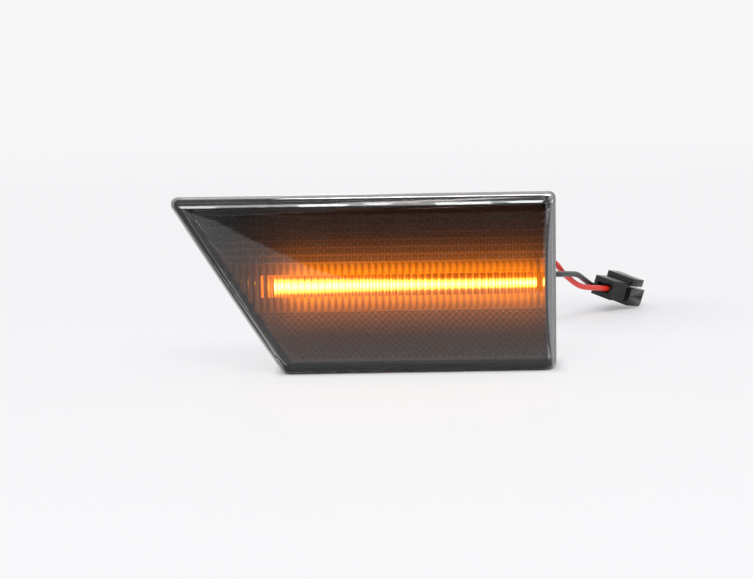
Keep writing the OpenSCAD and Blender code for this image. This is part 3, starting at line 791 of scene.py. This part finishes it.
@dataclass
class Lens:
    """The smoked lens: a curved face, drafted walls, and optics moulded on its inside."""

    width: float = 102.5
    height: float = 47.0
    slant: float = 29.8
    skirt: float = 4.4
    rim: float = 8.9
    crown: float = 5.0
    thick: float = 2.0
    corner: float = 1.8
    edge: float = 1.4
    end_taper: float = 19.5
    slant_taper: float = 5.0
    side_taper: float = 4.0
    end_edge: float = 2.6
    slant_edge: float = 1.3
    pitch: float = PITCH
    flute_steps: int = 12
    pillow_steps: int = 8
    cell: float = 1.8
    pillow: float = 0.28
    flute: float = 0.3
    arch: float = 1.5
    fade: float = 4.0
    band: float = 13.0
    band_drop: float = -0.1
    top_margin: float = 5.0
    bottom_margin: float = 4.0
    end_gap: float = 0.12
    inner_edge: float = 0.25
    inner_corner: float = 0.6
    bevel: float = 3.0
    bevel_lean: float = 20.0
    last_row: float = 1.2
    row_gap: float = 0.05
    hub_x: float = 6.0
    points: list[np.ndarray] = field(default_factory=list)
    faces: list[Sequence[int]] = field(default_factory=list)

    @property
    def radius(self) -> float:
        """Radius of the face."""
        return ((self.height / 2) ** 2 + self.crown**2) / (2 * self.crown)

    @property
    def front(self) -> float:
        """How far the middle of the face lies in front of the panel."""
        return self.rim + self.crown

    @property
    def lean(self) -> float:
        """Angle of the slanted end, in radians."""
        return math.atan(self.slant / self.height)

    @property
    def margin(self) -> float:
        """How far the optics start inside the outline at the slanted end."""
        return self.hollow(self.front - self.thick, self.slant_taper) + self.end_gap

    def left(self, z: float, inset: float = 0.0) -> float:
        """Place of the slanted end at height z, moved in by inset."""
        share = (self.height / 2 - z) / self.height
        return -self.width / 2 + self.slant * share + inset / math.cos(self.lean)

    def inner_foot(self) -> np.ndarray:
        """The points round the foot of the inner walls."""
        r, turn = self.inner_corner, math.pi + self.lean
        z = self.height / 2 - self.thick - r
        right = self.width / 2 - self.hollow(self.skirt, self.end_taper) - r
        inset = self.hollow(self.skirt, self.slant_taper) + r
        corners = [
            (right, z, 0.0, math.pi / 2), (self.left(z, inset), z, math.pi / 2, turn),
            (self.left(-z, inset), -z, turn, 1.5 * math.pi), (right, -z, 1.5 * math.pi, math.tau),
        ]
        made = []
        for x, up, start, stop in corners:
            for a in np.linspace(start, stop, 9):
                made.append((x + r * math.cos(a), -self.skirt, up + r * math.sin(a)))
        return np.array(made)

    def section(self) -> list[tuple[float, float]]:
        """Half of the outer section, as distances in front of the panel and heights."""
        r, side, mid = self.edge, math.radians(self.side_taper), self.front - self.radius
        b = math.tan(side)
        a = self.height / 2 - r / math.cos(side) + self.skirt * b
        half = (mid + a * b) / (1 + b * b)
        f = half + math.sqrt(half**2 - (mid**2 + a * a - (self.radius - r) ** 2) / (1 + b * b))
        z = a - b * f
        turn = math.atan2(z, f - mid)
        rise = f + r * math.sin(side) - self.skirt
        made = [
            (self.skirt + max(t * t * rise, 0.02), self.height / 2 - t * t * rise * b)
            for t in np.linspace(0, 0.96, 9)
        ]
        made += [
            (f + r * math.cos(t), z + r * math.sin(t))
            for t in np.linspace(math.pi / 2 - side, turn, 12)
        ]
        made += [
            (mid + self.radius * math.cos(t), self.radius * math.sin(t))
            for t in turn * (1 - np.arange(1, 61) / 60.5)
        ]
        return made

    def ends(self, z: float) -> tuple[float, float]:
        """Places of the feet of the slanted and the right end wall at height z, round the corners."""
        r, up = self.corner, self.height / 2 - self.corner
        left, right = self.left(z), self.width / 2
        shift = r * math.sin(self.lean)
        for middle, turned in ((up, z > up - shift), (-up, z < -up - shift)):
            if turned:
                left = self.left(middle, r) - math.sqrt(max(r * r - (z - middle) ** 2, 0.0))
        if abs(z) > up:
            right += math.sqrt(max(r * r - (abs(z) - up) ** 2, 0.0)) - r
        return left, right

    def over(self, f: float, z: float) -> np.ndarray:
        """One line of the outer skin, from the foot of the slanted end over the face to the other foot.

        Args:
            f: How far the face lies in front of the panel on this line.
            z: The line's height.

        Returns:
            The line's points.
        """
        sides = []
        tall = f - self.skirt
        for foot, sign, taper, wide in zip(
            self.ends(z), (1.0, -1.0), (self.slant_taper, self.end_taper), (1 / math.cos(self.lean), 1.0)
        ):
            draft = math.radians(taper)
            line = [(0.0, 0.0)]
            if sign > 0:
                start = max(tall - self.bevel, 0.3 * tall)
                line.append((start * math.tan(draft), start))
                draft = math.radians(self.bevel_lean)
            x, y = line[-1]
            r = min(self.end_edge if sign < 0 else self.slant_edge, 0.6 * tall)
            low = tall - r + r * math.sin(draft)
            middle = x + (low - y) * math.tan(draft) + r * math.cos(draft)
            line.append((x + 0.9 * (low - y) * math.tan(draft), y + 0.9 * (low - y)))
            line += [
                (middle - r * math.cos(t), tall - r + r * math.sin(t))
                for t in np.linspace(draft, math.pi / 2, 13)
            ]
            line.append((middle + 0.4, tall))
            sides.append([(foot + sign * wide * x, -self.skirt - y, z) for x, y in line])
        return np.array([*sides[0], *sides[1][::-1]])

    def hollow(self, f: float, taper: float) -> float:
        """How far the hollow's end wall lies inside the outline at distance f, for an outer taper."""
        draft = math.radians(0.7 * taper)
        return self.thick / math.cos(draft) + (f - self.skirt) * math.tan(draft)

    def inside(self, z: float) -> float:
        """How far the inside of the face lies in front of the panel at height z."""
        return self.front - self.radius + math.sqrt((self.radius - self.thick) ** 2 - z * z)

    def row(self, z: float, step: float = 0.0, rise: Callable[[float], float] | None = None) -> np.ndarray:
        """One row of the inner skin, from the right end wall to the left one.

        Args:
            z: The row's height.
            step: Distance between the points of its optics.
            rise: How far the optics stand out, by distance from the right, or None for a bare row.

        Returns:
            The row's points.
        """
        f, r = self.inside(z), self.inner_edge
        turns = [(r * (1 - math.cos(t)), f - r + r * math.sin(t)) for t in np.linspace(0, math.pi / 2, 5)]
        wall = self.width / 2 - self.hollow(f - r, self.end_taper)
        made = [(wall - x, -y, z) for x, y in turns]
        if rise:
            left = self.left(z, self.margin)
            right = self.width / 2 - self.hollow(self.front - self.thick, self.end_taper) - self.end_gap
            for i in range(int((right - left) / step - 0.3) + 1):
                x = right - i * step
                fade = min((x - left) / self.fade, 1.0)
                made.append((x, rise(i * step) * fade * fade * (3 - 2 * fade) - f, z))
        slanted = self.left(z, self.hollow(f - r, self.slant_taper))
        return np.array([*made, *[(slanted + x / math.cos(self.lean), -y, z) for x, y in turns[::-1]]])

    def rows(self) -> list[np.ndarray]:
        """All rows of the inner skin, from the bottom up."""
        end = self.height / 2 - self.thick - self.last_row
        low = -self.band_drop - self.band / 2
        high = low + self.band
        made = [self.row(-end), *self.pillows(self.bottom_margin - self.height / 2, low - self.row_gap)]
        ends = [self.arch * share for share in (0.0, 0.03, 0.08, 0.16, 0.26, 0.4, 0.6, 0.8)]
        middle = [low + self.band * i / 12 for i in range(2, 11)]
        for z in [*(low + e for e in ends), *middle, *(high - e for e in ends[::-1])]:
            past = 1 - min(z - low, high - z, self.arch) / self.arch
            stand = self.flute * math.sqrt(max(1 - past * past, 0.0))
            made.append(self.row(
                z, self.pitch / self.flute_steps,
                lambda d, h=stand: h * abs(math.sin(math.pi * d / self.pitch)),
            ))
        made += self.pillows(high + self.row_gap, self.height / 2 - self.top_margin)
        return [*made, self.row(end)]

    def pillows(self, low: float, high: float) -> list[np.ndarray]:
        """The rows of a field of pillows.

        Args:
            low: Its lower edge.
            high: Its upper edge.

        Returns:
            The rows.
        """
        steps = self.pillow_steps
        last = round((high - low) / self.cell) * steps
        made = []
        for j, z in enumerate(np.linspace(low, high, last + 1)):
            v, height = (0.0, 0.0) if j in (0, last) else (math.cos(math.tau * j / steps), self.pillow / 2)
            made.append(self.row(
                z, self.pitch / steps,
                lambda d, v=v, h=height: h * (1 + v * math.cos(math.tau * d / self.pitch)),
            ))
        return made

    def keep(self, points: np.ndarray) -> list[int]:
        """Adds points and gives their numbers."""
        start = sum(len(p) for p in self.points)
        self.points.append(points)
        return list(range(start, start + len(points)))

    def join(self, a: list[int], b: list[int], key_a: np.ndarray, key_b: np.ndarray) -> None:
        """Joins two lines of points by triangles.

        Args:
            a: Numbers of the first line's points.
            b: Numbers of the second line's points.
            key_a: Falling keys of the first line.
            key_b: Falling keys of the second line.
        """
        i = k = 0
        while i < len(a) - 1 or k < len(b) - 1:
            if k >= len(b) - 1 or (i < len(a) - 1 and key_a[i + 1] > key_b[k + 1]):
                self.faces.append((a[i], a[i + 1], b[k]))
                i += 1
            else:
                self.faces.append((a[i], b[k + 1], b[k]))
                k += 1

    def outer_skin(self) -> list[int]:
        """Makes the walls and the curved face, and gives the point numbers round their foot."""
        half = self.section()
        lines = [self.keep(self.over(f, z)) for f, z in [*half, *[(f, -z) for f, z in half[::-1]]]]
        for above, below in zip(lines[:-1], lines[1:]):
            self.faces += [(above[i], below[i], below[i + 1], above[i + 1]) for i in range(len(above) - 1)]
        return [*lines[0][::-1], *[k[0] for k in lines[1:]], *lines[-1][1:], *[k[-1] for k in lines[-2::-1]]]

    def inner_skin(self, foot: list[int]) -> None:
        """Makes the rim, the inner walls and the inner face.

        Args:
            foot: Point numbers round the foot of the outer skin.
        """
        rim = self.keep(self.inner_foot())
        rim = [*rim, rim[0]]
        self.bridge(foot, rim)
        rows = self.rows()
        kept = [self.keep(r) for r in rows]
        for (a, ia), (b, ib) in zip(zip(rows[1:], kept[1:]), zip(rows[:-1], kept[:-1])):
            self.join(ia, ib, a[:, 0], b[:, 0])
        loop = [*kept[-1], *[k[-1] for k in kept[-2::-1]], *kept[0][-2::-1], *[k[0] for k in kept[1:]]]
        self.bridge(rim, loop)

    def bridge(self, *lines: list[int]) -> None:
        """Joins two closed lines of points, by their directions from the hub."""
        places = [np.concatenate(self.points)[line] for line in lines]
        self.join(*lines, *(-np.unwrap(np.arctan2(p[:, 2], p[:, 0] - self.hub_x)) for p in places))

    def build(self, finishes: Finishes) -> bpy.types.Object:
        """Makes the lens and lets it stand for the CAD one.

        Args:
            finishes: The lamp's finishes.

        Returns:
            The lens.
        """
        self.inner_skin(self.outer_skin())
        mesh = bpy.data.meshes.new("clear_lens")
        points = [tuple(p) for p in np.concatenate(self.points) * MM]
        mesh.from_pydata(points, [], [list(f) for f in self.faces])
        work = bmesh.new()
        work.from_mesh(mesh)
        bmesh.ops.recalc_face_normals(work, faces=work.faces)
        work.to_mesh(mesh)
        work.free()
        mesh.shade_smooth()
        mesh.set_sharp_from_angle(angle=math.radians(LENS_SHARP))
        mesh.materials.append(finishes["lens"])
        made = new_object("clear_lens", mesh)
        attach(made, "root")
        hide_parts("lens")
        log.info("lens: %d faces", len(made.data.polygons))
        return made


# ---------------------------------------------------------------- inside and behind


@dataclass
class LightEngine:
    """The bezel, the lit bar, the board and what stands on it."""

    lamps: int = 18
    resistors: int = 6

    def build(self, finishes: Finishes) -> None:
        """Dresses the pieces behind the lens.

        Args:
            finishes: The lamp's finishes.
        """
        dress("bezel", finishes["bezel"])
        dress("light_bar", finishes["bar"])
        dress("circuit_board", finishes["board"])
        for i in range(1, self.lamps + 1):
            dress(f"led_{i}", finishes["lamp"])
        for name in ("driver_chip", "input_diode"):
            dress(name, finishes["chip"], finishes["tin"])
        for name in ("input_capacitor", "output_capacitor"):
            dress(name, finishes["ceramic"], finishes["tin"])
        for i in range(1, self.resistors + 1):
            dress(f"resistor_{i}", finishes["chip"], finishes["tin"])
        for side in ("left", "right"):
            rounded_copy(f"{side}_screw", finishes["zinc"], 0.1)
        log.info("light engine: dressed")


@dataclass
class BackBody:
    """The housing with its snap-in body, the foam seal, the spring clip and the grommet."""

    round_over: float = 0.3

    def build(self, finishes: Finishes) -> None:
        """Makes the rounded pieces and dresses the seal.

        Args:
            finishes: The lamp's finishes.
        """
        rounded_copy("housing", finishes["housing"], self.round_over)
        rounded_copy("grommet", finishes["grommet"], 0.35, 3)
        rounded_copy("spring_clip", finishes["spring"], 0.06)
        dress("seal", finishes["foam"])
        for colour in ("red", "black"):
            dress(f"{colour}_lead_inside", finishes[colour])
        log.info("back body: dressed")


# ---------------------------------------------------------------- leads and connector


class Pole(Enum):
    """The two wires of the lead."""

    RED = "red"
    BLACK = "black"


@dataclass
class Connector:
    """The two-pole connector on the lead's end, and where its cavities are."""

    at: Point = (72.75, 90.5, -19.5)
    turn: Point = (14.0, 9.5, 52.5)
    pitch: float = 2.5
    cavity_z: float = 4.0

    def place(self, x: float, side: float) -> np.ndarray:
        """Gives a place on a cavity's axis.

        Args:
            x: Distance from the wire end.
            side: -1 for the red cavity and 1 for the black one.

        Returns:
            The place in the lamp's frame, in millimetres.
        """
        a, b, c = (math.radians(t) for t in self.turn)
        turned = Matrix.Rotation(c, 3, "Z") @ Matrix.Rotation(b, 3, "Y") @ Matrix.Rotation(a, 3, "X")
        return np.array(self.at) + np.array(turned @ Vector((x, side * self.pitch / 2, self.cavity_z)))

    def build(self, finishes: Finishes) -> bpy.types.Object:
        """Makes the shell and dresses the contacts.

        Args:
            finishes: The lamp's finishes.

        Returns:
            The shell.
        """
        for pole in Pole:
            dress(f"{pole.value}_contact", finishes["tin"])
        return rounded_copy("connector_shell", finishes["connector"], 0.22)


@dataclass
class Wire:
    """One free wire between the grommet and the connector."""

    pole: Pole
    start_z: float
    side: float
    route: Sequence[Point]
    diameter: float = 1.7
    exit_x: float = 30.25
    exit_y: float = 20.4
    reach: float = 2.6

    def line(self, connector: Connector, steps: int = 8) -> np.ndarray:
        """The wire's middle line.

        Args:
            connector: The connector that it ends in.
            steps: Points between two places of the route.

        Returns:
            The points in millimetres.
        """
        start = np.array((self.exit_x, self.exit_y, self.start_z))
        entry, last = connector.place(-4.0, self.side), connector.place(self.reach, self.side)
        p = [start, *[np.array(r, float) + (self.exit_x, 0, 0) for r in self.route], entry, last]
        made = [start]
        for a, b, c, d in zip(p, p[1:], p[2:], p[3:]):
            for t in np.arange(steps) / steps:
                made.append((
                    2 * b + (c - a) * t + (2 * a - 5 * b + 4 * c - d) * t**2
                    + (3 * b - a - 3 * c + d) * t**3
                ) / 2)
        return np.array([*made, entry, last])

    def build(
        self, connector: Connector, finishes: Finishes, carried: list[bpy.types.Object | str]
    ) -> None:
        """Args:
            connector: The connector that it ends in.
            finishes: The lamp's finishes.
            carried: The pieces on its end; not used.
        """
        points = self.line(connector)
        curve = bpy.data.curves.new(f"{self.pole.value}_sheath", "CURVE")
        curve.dimensions, curve.bevel_depth, curve.bevel_resolution = "3D", self.diameter / 2 * MM, 5
        curve.use_fill_caps = True
        spline = curve.splines.new("POLY")
        spline.points.add(len(points) - 1)
        for point, place in zip(spline.points, points * MM):
            point.co = (*place, 1.0)
        curve.materials.append(finishes[self.pole.value])
        made = new_object(curve.name, curve)
        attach(made, "root")
        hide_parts(f"{self.pole.value}_wire")


class Lead:
    """The red and the black wire with their connector."""

    red = Wire(Pole.RED, 3.3, -1.0, [
        (0, 26, 3.3), (1.4, 34, 3.1), (7, 43, 2.1), (16, 52, 0.1), (25.5, 61.5, -3.5),
        (30, 70, -8.7), (35.4, 77.6, -13.3),
    ])
    black = Wire(Pole.BLACK, 0.7, 1.0, [
        (0, 26, 0.7), (1.6, 34, 0.1), (7.6, 42, -1.6), (17, 50.5, -4.4), (26, 59, -7),
        (30.6, 66, -8), (34, 73, -9.2), (36.6, 80, -11.5),
    ])

    def build(self, finishes: Finishes) -> None:
        """Makes the connector, then the wires that end in it.

        Args:
            finishes: The lamp's finishes.
        """
        connector = Connector()
        shell = connector.build(finishes)
        self.red.build(connector, finishes, [shell, "red_contact"])
        self.black.build(connector, finishes, ["black_contact"])


# ---------------------------------------------------------------- camera and stage

# The dark part of the room that the upper face mirrors: on the wall (x, z) and on the floor (x, y)
WALL = (
    (-0.115, 0.47), (0.6, 0.47), (0.6, -0.0235), (-0.012, -0.0235), (-0.030, 0.031), (-0.036, 0.062),
    (-0.044, 0.110), (-0.053, 0.155), (-0.071, 0.251), (-0.091, 0.367), (-0.109, 0.439),
)
FLOOR = ((-0.012, -0.6199), (0.6, -0.6199), (0.6, -0.1), (0.06, -0.11), (0.037, -0.214), (0.014, -0.376))

# The lamps that draw the bright lines along the top: x, width, degrees up and level
GLEAMS = (
    (0.0, 0.9, 38.4, 0.4), (-0.130, 0.040, 38.1, 0.5), (-0.034, 0.036, 38.1, 0.8),
    (0.006, 0.020, 38.4, 0.6), (0.068, 0.040, 38.0, 0.9), (0.118, 0.036, 38.3, 0.7),
)

# Where the background's glow starts round the foot of the lamp: axis, place of 0 and place of 1
FOOT_EDGES = (("Y", -0.0092, -0.0125), ("Y", 0.0, 0.012), ("X", -0.020, -0.024), ("X", 0.0515, 0.0545))


@dataclass(frozen=True)
class Viewpoint:
    """The camera of the picture: a long lens, a little above the lamp."""

    distance: float = 549.84
    aim: Point = (3.83, -12.0, 0.0)
    rise: float = -0.755
    elevation: float = 8.0
    roll: float = 0.964
    focal_px: float = 2112.0
    width_px: int = 753
    sensor_mm: float = 36.0

    def build(self) -> None:
        """Makes the camera and gives it to the scene."""
        e, r = math.radians(self.elevation), math.radians(self.roll)
        ahead, up = Vector((0, math.cos(e), -math.sin(e))), Vector((0, math.sin(e), math.cos(e)))
        right = Vector((1, 0, 0))
        across, over = right * math.cos(r) - up * math.sin(r), right * math.sin(r) + up * math.cos(r)
        at = (Vector(self.aim) + up * self.rise - ahead * self.distance) * MM
        data = bpy.data.cameras.new("camera")
        data.sensor_width, data.sensor_fit = self.sensor_mm, "HORIZONTAL"
        data.lens = self.focal_px / self.width_px * self.sensor_mm
        data.clip_start, data.clip_end = 0.01, 50.0
        made = new_object("camera", data)
        made.matrix_world = Matrix((
            (across.x, over.x, -ahead.x, at.x), (across.y, over.y, -ahead.y, at.y),
            (across.z, over.z, -ahead.z, at.z), (0, 0, 0, 1),
        ))
        bpy.context.scene.camera = made


@dataclass
class Studio:
    """The pale floor and backdrop, the dark side of the room, and the lights."""

    floor_z: float = -0.0235
    white: Colour = (0.925, 0.925, 0.94)
    sky: float = 0.68
    shown_white: float = 0.99
    bend_y: float = 1.6
    bend_r: float = 0.8
    plug: Point = (0.078, 0.090)
    wall_y: float = -0.62
    above_floor: float = 0.0002

    def stage_mesh(
        self, name: str, points: Sequence[Point], faces: Sequence[Sequence[int]], material: bpy.types.Material
    ) -> bpy.types.Object:
        """Makes a piece of the stage.

        Args:
            name: Its name.
            points: Its points, in metres.
            faces: Its faces, as lists of point numbers.
            material: Its material.

        Returns:
            The piece.
        """
        mesh = bpy.data.meshes.new(name)
        mesh.from_pydata(list(points), [], list(faces))
        mesh.shade_smooth()
        mesh.materials.append(material)
        made = new_object(name, mesh)
        return made

    def seen_plainly(self, tree: Tree) -> Socket:
        """Gives 1 for the rays that show the white background, and 0 for those that light things."""
        path = tree.add("LightPath").outputs
        both = tree.math("MAXIMUM", path["Is Camera Ray"], path["Is Glossy Ray"])
        return tree.math("MAXIMUM", both, path["Is Transmission Ray"])

    def beside_lamp(self, tree: Tree) -> Socket:
        """Gives 0 on the floor close under the lamp, 1 a few millimetres away, and less by the plug."""
        clear = 0.0
        for axis, near, off in FOOT_EDGES:
            clear = tree.math("MAXIMUM", clear, tree.span(tree.axis(axis), near, off))
        plug = (*self.plug, self.floor_z)
        away = tree.add("VectorMath", tree.here, plug, settings={"operation": "DISTANCE"}).outputs["Value"]
        return tree.math("MULTIPLY", clear, tree.span(away, 0.02, 0.05, 0.4))

    def backdrop(self) -> None:
        """Makes the floor, which curves up behind the lamp."""
        material, tree, shader = new_material("pale sheet")
        noise = tree.add("TexNoise", Vector=tree.here, Scale=3.0).outputs[0]
        tree.give(shader, Base_Color=tree.mix(noise, scaled(self.white, 0.99), self.white), Roughness=0.55)
        glow = tree.add("Emission", Color=(0.93, 0.93, 0.945), Strength=1.0)
        share = tree.math("MULTIPLY", tree.span(tree.axis("Y"), 0.15, 0.9, 0.75), self.seen_plainly(tree))
        share = tree.math("MULTIPLY", share, self.beside_lamp(tree))
        both = tree.add("MixShader", share, shader.outputs[0], glow.outputs[0])
        tree.give(tree.end, Surface=both.outputs[0])
        y, r = self.bend_y, self.bend_r
        bend = [(y + r * math.sin(a), r - r * math.cos(a)) for a in np.linspace(0.1, math.pi / 2, 14)]
        profile = [(-3.0, 0.0), (y, 0.0), *bend, (y + r, 4.0)]
        points = [(x, y, self.floor_z + z) for y, z in profile for x in (-4.0, 4.0)]
        faces = [(2 * i, 2 * i + 1, 2 * i + 3, 2 * i + 2) for i in range(len(profile) - 1)]
        self.stage_mesh("floor", points, faces, material)

    def dark_side(self) -> None:
        """Makes the dark part of the room in front of the lamp, which only gloss shows."""
        material, tree, shader = new_material("dark room")
        noise = tree.add("TexNoise", Vector=tree.here, Scale=2.0).outputs[0]
        base = tree.mix(noise, (0.004, 0.004, 0.004), (0.02, 0.018, 0.018))
        tree.give(shader, Base_Color=base, Roughness=0.9)
        behind, clear = tree.add("NewGeometry").outputs["Backfacing"], tree.add("BsdfTransparent")
        both = tree.add("MixShader", behind, shader.outputs[0], clear.outputs[0])
        tree.give(tree.end, Surface=both.outputs[0])
        points = [(x, self.wall_y, z) for x, z in WALL]
        points += [(x, y, self.floor_z + self.above_floor) for x, y in FLOOR]
        faces = [tuple(range(len(WALL))), tuple(range(len(WALL), len(points)))]
        made = self.stage_mesh("dark_side", points, faces, material)
        made.visible_camera = made.visible_diffuse = made.visible_shadow = False

    def light(self, name: str, at: Point, size: tuple[float, float], power: float) -> bpy.types.Object:
        """Adds an area light that looks at the lamp.

        Args:
            name: Its name.
            at: Its place.
            size: Its width and height.
            power: Its power in watts.

        Returns:
            The light.
        """
        data = bpy.data.lights.new(name, "AREA")
        data.shape, data.size, data.size_y = "RECTANGLE", *size
        data.energy = power
        made = new_object(name, data)
        made.location = at
        made.rotation_euler = (-Vector(at)).to_track_quat("-Z", "Y").to_euler()
        return made

    def shine(self, name: str, x: float, up: float, size: tuple[float, float], power: float) -> None:
        """Adds a light in front, 1 m away, that only gloss shows.

        Args:
            name: Its name.
            x: How far it lies to the right.
            up: How high it stands, in degrees.
            size: Its width and height.
            power: Its power in watts.
        """
        turn = math.radians(up)
        made = self.light(name, (x, -math.cos(turn), math.sin(turn)), size, power)
        made.visible_diffuse = made.visible_camera = made.visible_transmission = False

    def build(self) -> None:
        """Makes the stage, the lights and the world."""
        self.backdrop()
        self.dark_side()
        self.light("key", (0.0, -0.66, 0.79), (0.7, 0.3), 5.2).visible_glossy = False
        for i, (x, wide, up, level) in enumerate(GLEAMS):
            self.shine(f"gleam {i + 1}", x, up, (wide, 0.022), 1.1 * wide * level)
        self.shine("strip", 0.0, 43.2, (0.9, 0.025), 0.2)
        spill = self.light("warm spill", (0.01, -0.03, -0.004), (0.07, 0.008), 0.003)
        spill.data.color = (1.0, 0.3, 0.06)
        spill.rotation_euler = Vector((0, -0.03, -0.019)).to_track_quat("-Z", "Y").to_euler()
        spill.visible_glossy = spill.visible_camera = spill.visible_transmission = False
        world = bpy.data.worlds.new("studio")
        world.use_nodes = True
        world.node_tree.nodes.clear()
        tree = Tree(world.node_tree)
        level = tree.blend(self.sky, (self.seen_plainly(tree), self.shown_white - self.sky))
        sky = tree.add("Background", Color=(0.94, 0.94, 0.955), Strength=level)
        tree.add("OutputWorld", Surface=sky.outputs[0])
        bpy.context.scene.world = world
        bpy.context.scene.view_settings.view_transform = "Standard"
        log.info("studio: ready")


def main() -> None:
    """Builds the camera, the lead, the lamp and the stage, in that order."""
    logging.basicConfig(level=logging.INFO, format="%(name)s: %(message)s")
    Viewpoint().build()
    finishes = Finishes()
    Lead().build(finishes)
    Lens().build(finishes)
    LightEngine().build(finishes)
    BackBody().build(finishes)
    Studio().build()


if __name__ == "__main__":
    main()
